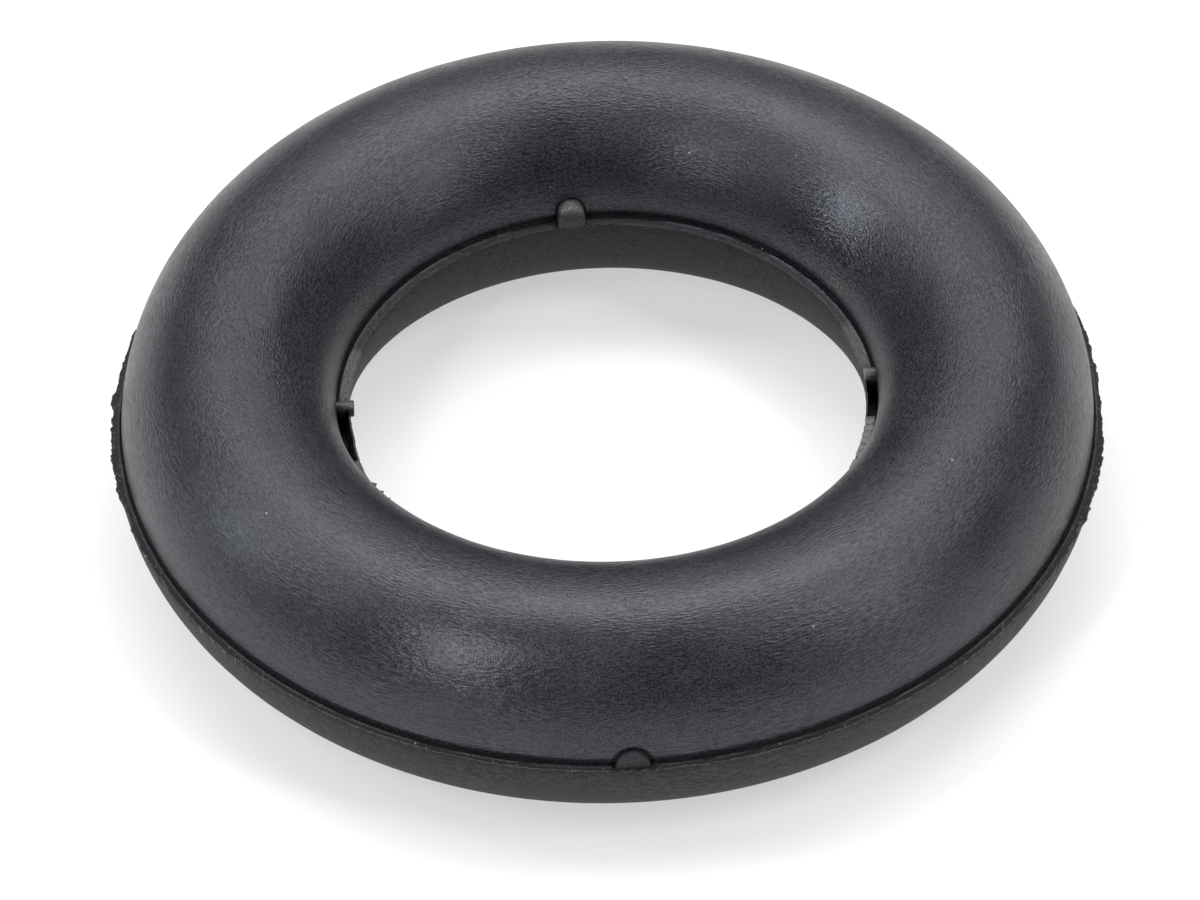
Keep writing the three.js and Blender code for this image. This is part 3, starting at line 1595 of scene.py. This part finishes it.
@dataclass(frozen=True)
class ProductCamera:
    """The long-lens view of the photograph, in millimetres and degrees, from the -Y side."""

    target: Tuple[float, float, float] = (-0.521, -3.484, 7.5)
    elevation: float = 44.566
    roll: float = -1.287
    distance: float = 755.04
    lens: float = 362.42
    sensor: float = 36.0
    nearest: float = 10.0
    farthest: float = 20000.0

    def place(self) -> None:
        """Makes the scene's camera."""
        above, turn = math.radians(self.elevation), math.radians(self.roll)
        level_right = Vector((1, 0, 0))
        level_up = Vector((0, math.sin(above), math.cos(above)))
        back = Vector((0, -math.cos(above), math.sin(above)))
        right = level_right * math.cos(turn) + level_up * math.sin(turn)
        up = level_up * math.cos(turn) - level_right * math.sin(turn)
        data = bpy.data.cameras.new("product_camera")
        data.sensor_width = self.sensor
        data.lens = self.lens
        data.clip_start = self.nearest * MM
        data.clip_end = self.farthest * MM
        camera = bpy.data.objects.new("product_camera", data)
        bpy.context.scene.collection.objects.link(camera)
        turned = Matrix((right, up, back)).transposed().to_4x4()
        place = (Vector(self.target) + back * self.distance) * MM
        camera.matrix_world = Matrix.Translation(place) @ turned
        bpy.context.scene.camera = camera


@dataclass(frozen=True)
class Studio:
    """The plain white floor, the unlit surroundings and the soft boxes, in metres.

    The floor glows a little of its own, so that it stays white, and lies a hair below the ring.
    """

    boxes: Sequence[SoftBox]
    surroundings: float = 0.0
    floor_shade: float = 0.5
    floor_glow: float = 0.52
    floor_roughness: float = 0.9
    floor_reach: float = 3.0
    floor_drop: float = 0.00001

    def build(self) -> None:
        """Lays the floor and hangs the lights."""
        deselect_all()
        bpy.ops.mesh.primitive_plane_add(
            size=2 * self.floor_reach, location=(0, 0, -self.floor_drop)
        )
        floor = bpy.context.object
        floor.name = "white_floor"
        floor.data.materials.append(self.paper())
        world = bpy.data.worlds.new("unlit_surroundings")
        world.use_nodes = True
        background = world.node_tree.nodes["Background"]
        background.inputs["Strength"].default_value = self.surroundings
        bpy.context.scene.world = world
        for box in self.boxes:
            box.place()
            log.info("soft box %s at %d, %d degrees", box.name, box.azimuth, box.elevation)

    def paper(self) -> bpy.types.Material:
        """Makes the floor's matt white paper.

        Returns:
            The material.
        """
        paper = bpy.data.materials.new("white_paper")
        paper.use_nodes = True
        surface = paper.node_tree.nodes["Principled BSDF"]
        surface.inputs["Base Color"].default_value = (*[self.floor_shade] * 3, 1.0)
        surface.inputs["Roughness"].default_value = self.floor_roughness
        surface.inputs["Specular IOR Level"].default_value = 0.0
        surface.inputs["Emission Color"].default_value = (1.0, 1.0, 1.0, 1.0)
        surface.inputs["Emission Strength"].default_value = self.floor_glow
        return paper


@dataclass(frozen=True)
class MountingRing:
    """The whole ring: its body, its torn edges, its nubs, its marks and its rubber."""

    wear: Wear
    nubs: Sequence[Nub]
    rubber: RubberFinish
    smooth_angle: float = 38.0

    def build(self) -> bpy.types.Object:
        """Builds the ring.

        Returns:
            The finished ring, in metres, at the origin, with its material.
        """
        section = Section.from_frame()
        log.info("section %s", section)
        body = RingBody(section)
        edge = TornEdge(section, self.wear)
        maker = NubMaker(section)
        ring = body.build()
        edge.tear(ring)
        for nub in self.nubs:
            maker.add(ring, nub)
        SurfaceMarks(section, edge, self.nubs, body.edge_round).put_on(ring)
        work_on(ring)
        enter_edit_mode()
        select_mesh()
        resize((MM, MM, MM))
        leave_edit_mode()
        bpy.ops.object.shade_smooth_by_angle(angle=math.radians(self.smooth_angle))
        ring.data.materials.append(self.rubber.material(section))
        return ring


MOULDED_RUBBER = RubberFinish(
    name="moulded_rubber",
    colour=(0.0190, 0.0205, 0.0245),
    mottle_colour=(0.0235, 0.0240, 0.0275),
    lower_colour=(0.0180, 0.0175, 0.0185),
    # Painted shade for the lower half inside the hole
    inner_lower_shade_colour=(0.0070, 0.0070, 0.0075),
    speck_colour=(0.30, 0.29, 0.27),
    trimmed_colour=(0.0120, 0.0120, 0.0120),
    crumb_colour=(0.075, 0.068, 0.060),
    # Painted highlight colour
    painted_sheen_colour=(0.19, 0.185, 0.185),
    roughness=0.38,
    roughness_spread=0.04,
    polished_roughness=0.25,
    lower_roughness=0.7,
    trimmed_roughness=0.8,
    painted_sheen_roughness=0.45,
    line_height=0.04,
    lower_line_height=0.02,
    grain_height=0.015,
    trimmed_height=0.03,
    speck_amount=0.05,
    crumb_amount=0.25,
    crumb_scale=5200.0,
    crumb_size=0.5,
    tone_spread=0.8,
    line_tone=0.9,
    line_gloss=0.25,
    reflection_tint=(0.90, 0.93, 1.0),
)

# Name, azimuth, elevation, width, height, power and tint
SOFT_BOXES = (
    SoftBox("front_left_strip", 233, 36.5, 0.15, 1.0, 5.75),
    SoftBox("front_left_high", 220, 56, 0.3, 0.4, 2.3),
    SoftBox("front_low", 240, 8, 0.4, 0.3, 0.75),
    SoftBox("left_strip", 177, 29.5, 0.15, 0.6, 3.95, (0.89, 0.91, 1.0)),
    SoftBox("left_high", 164, 45, 0.3, 0.4, 3.6),
    SoftBox("left_low", 180, 15, 0.3, 0.3, 1.15),
    SoftBox("right_strip", 335, 32.5, 0.15, 1.19, 5.3),
    SoftBox("right_high", 340, 55, 0.4, 0.4, 3.6),
    SoftBox("right_low", 330, 15, 0.3, 0.3, 0.7),
    SoftBox("right_side", 10, 45, 0.4, 0.4, 2.5),
    SoftBox("rear_low", 90, 28, 0.9, 0.3, 1.2),
    SoftBox("rear_right", 58, 39, 0.6, 0.25, 2.6),
    SoftBox("rear_left", 125, 50, 0.6, 0.45, 3.0),
    SoftBox("rear_middle", 90, 50, 0.6, 0.45, 1.6),
    SoftBox("rear_high", 90, 66, 0.6, 0.4, 5.2),
    SoftBox("rear_high_left", 140, 66, 0.6, 0.4, 3.6),
    SoftBox("rear_high_right", 40, 66, 0.6, 0.4, 4.7),
    SoftBox("overhead", 90, 83, 0.7, 0.5, 2.5),
)

# An edge spot has its side, azimuth, spread and out, and a stretch its side, start, end, amount and fade
WEAR = Wear(
    spots=(
        EdgeSpot(Side.OUTER, -12, 26, 0.28),
        EdgeSpot(Side.OUTER, -50, 40, 0.12),
        EdgeSpot(Side.OUTER, 187, 30, 0.3),
        EdgeSpot(Side.OUTER, 215, 22, 0.15),
        EdgeSpot(Side.INNER, 188, 14, 0.18),
        EdgeSpot(Side.INNER, -155.3, 0.8, 0.3),
        EdgeSpot(Side.INNER, -152.4, 0.7, 0.42),
        EdgeSpot(Side.INNER, -149.6, 0.8, 0.5),
    ),
    polished=(
        Stretch(Side.OUTER, -130, -90, 1.0, 16.0),
        Stretch(Side.INNER, 18, 53, 1.0, 14.0),
    ),
    slits=(
        Stretch(Side.INNER, -5.8, 6.6, 1.6, 0.8),
        Stretch(Side.INNER, 178, 197, 1.6, 5.0),
    ),
    filled=(Stretch(Side.INNER, -60, -12, 1.0, 3.0),),
    plain=(
        Stretch(Side.INNER, 76, 112, 0.8, 2.0),
        Stretch(Side.INNER, 50, 62, 0.7, 4.0),
    ),
    cracked=(Stretch(Side.INNER, -27, -7, 0.1, 2.0),),
    ragged=(
        Stretch(Side.OUTER, -30, 15, 1.0, 8.0),
        Stretch(Side.OUTER, 160, 215, 1.0, 8.0),
    ),
    # Stretches of the hole's ledge with a painted highlight, where it catches the light
    painted_sheen=(
        Stretch(Side.INNER, -33, -5.6, 0.85, 2.0),
        Stretch(Side.INNER, 8, 25, 0.35, 3.0),
        Stretch(Side.INNER, 160, 179, 0.4, 3.0),
        Stretch(Side.INNER, -171, -148, 0.3, 4.0),
    ),
)

# Each nub's sheen amount paints a highlight on its top
NUBS = (
    Nub(Side.INNER, 6.2, width=0.84, height=0.65, proud=-0.05, moat=0.1, painted_sheen=0.8, root=0.38),
    Nub(Side.INNER, 97, width=1.75, height=1.55, proud=0.0, moat=0.12, painted_sheen=0.6),
    Nub(Side.INNER, 180.3, width=0.74, height=0.57, proud=0.3, painted_sheen=0.5, disc=0.15),
    Nub(Side.INNER, 272, width=1.2, height=1.0, proud=0.0),
    Nub(Side.OUTER, 272, width=2.1, height=1.15, proud=-0.2, moat=0.3),
)


def main() -> None:
    """Builds the ring and its studio, and reports each piece."""
    logging.basicConfig(level=logging.INFO, format="%(name)s: %(message)s", stream=sys.stdout)
    ProductCamera().place()
    Studio(SOFT_BOXES).build()
    for effect in (Effects.tooling_lines, Effects.grain, Effects.specks):
        effect()
    ring = MountingRing(WEAR, NUBS, MOULDED_RUBBER).build()
    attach(ring, "root")
    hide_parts(RING_NODE)
    log.info("ring has %d faces", len(ring.data.polygons))
    bpy.context.scene.view_settings.view_transform = "Standard"


if __name__ == "__main__":
    main()
